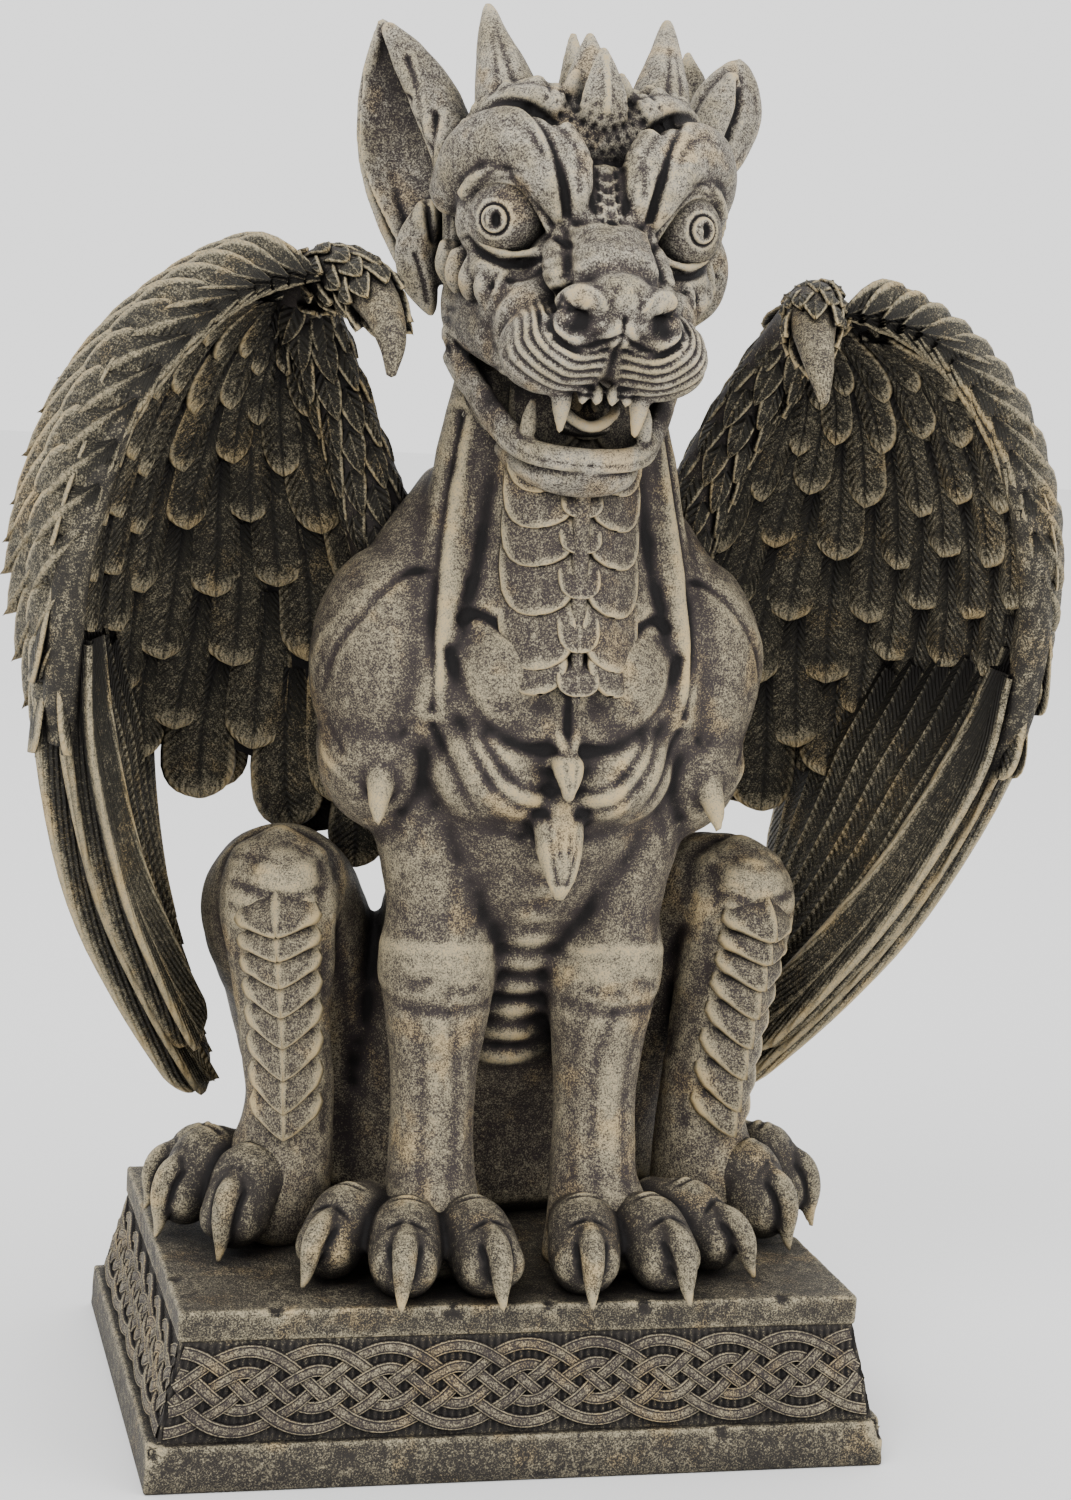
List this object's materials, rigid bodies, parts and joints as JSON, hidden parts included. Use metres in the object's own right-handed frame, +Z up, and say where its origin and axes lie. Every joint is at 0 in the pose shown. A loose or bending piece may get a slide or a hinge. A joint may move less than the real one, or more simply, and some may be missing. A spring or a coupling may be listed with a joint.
{
  "type": "gargoyle statue",
  "caption": "Seated winged gargoyle with a lion-like face, horns, large ears and clawed feet, cast in one piece with a sloped plinth carved with interlaced knotwork.",
  "frame": {"origin": "middle of the plinth's flat underside", "axes": "+Z up, -Y the way the gargoyle faces, +X to the viewer's right when looking at its face"},
  "size_m": [0.327, 0.173, 0.4296],
  "materials": {
    "aged_stone": "cast resin coloured as weathered dark stone, dry-brushed olive, grey and ochre on the high points, matt with a slight sheen"
  },
  "bodies": {
    "root": {"gargoyle_and_plinth": "aged_stone"}
  },
  "joints": []
}
